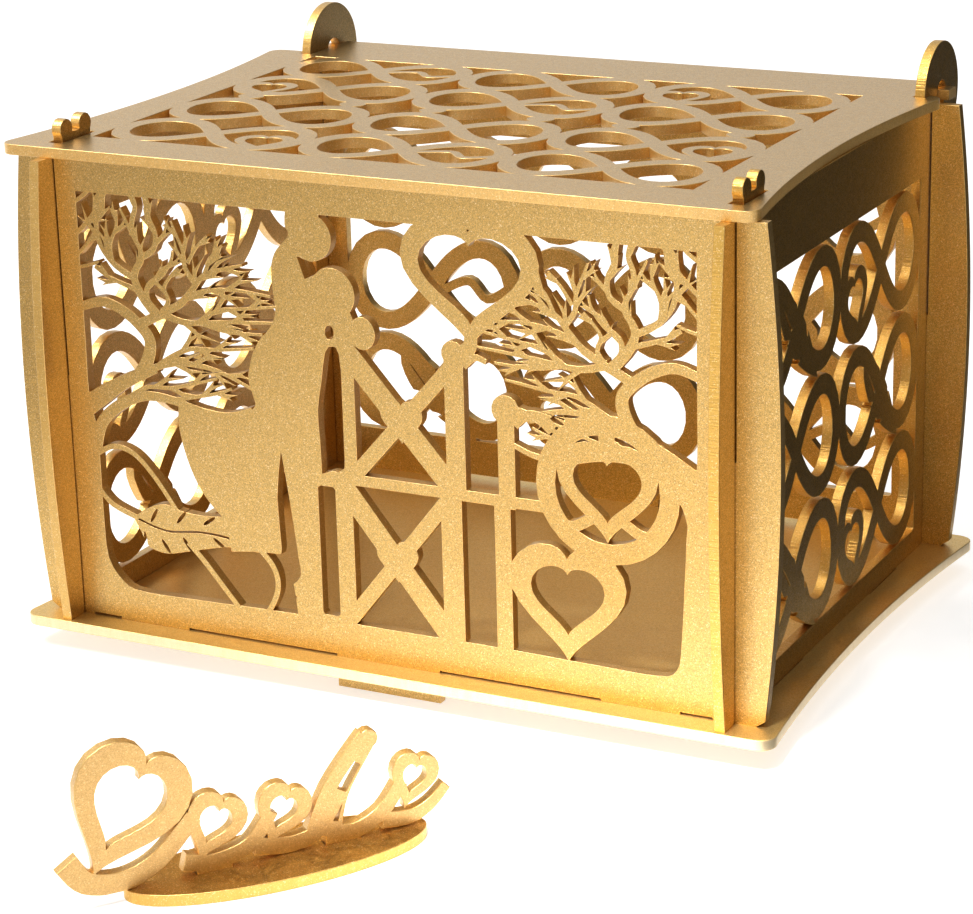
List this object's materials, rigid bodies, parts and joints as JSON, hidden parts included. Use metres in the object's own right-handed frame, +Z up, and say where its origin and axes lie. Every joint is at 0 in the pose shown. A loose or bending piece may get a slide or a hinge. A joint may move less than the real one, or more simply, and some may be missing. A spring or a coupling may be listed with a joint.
{
  "type": "wedding card box",
  "caption": "Slotted gift-card box of pierced gold board with tree, couple and heart cut-outs, a lid hinged on its own side tabs, and a small loose table sign.",
  "frame": {"origin": "middle of the front foot's underside, on the table", "axes": "+X to the box's right as seen from its front, +Y from the front panel to the back panel, +Z up"},
  "size_m": [0.3039, 0.4219, 0.2104],
  "materials": {
    "gold_board": "board painted with fine metallic gold, cut edges slightly darker"
  },
  "bodies": {
    "box": {"base_plate": "gold_board", "front_panel": "gold_board", "back_panel": "gold_board", "left_side_panel": "gold_board", "right_side_panel": "gold_board"},
    "lid": {"lid": "gold_board"},
    "sign": {"sign_base": "gold_board", "sign_upright": "gold_board"}
  },
  "joints": [
    {"name": "lid_hinge", "type": "hinge", "parent": "box", "child": "lid", "pos_m": [0, 0.2045, 0.1906], "axis": [-1, 0, 0], "range_deg": [0, 125]},
    {"name": "sign_lift", "type": "slide", "parent": "box", "child": "sign", "axis": [0, 0, 1], "range_m": [0, 0.15]}
  ]
}
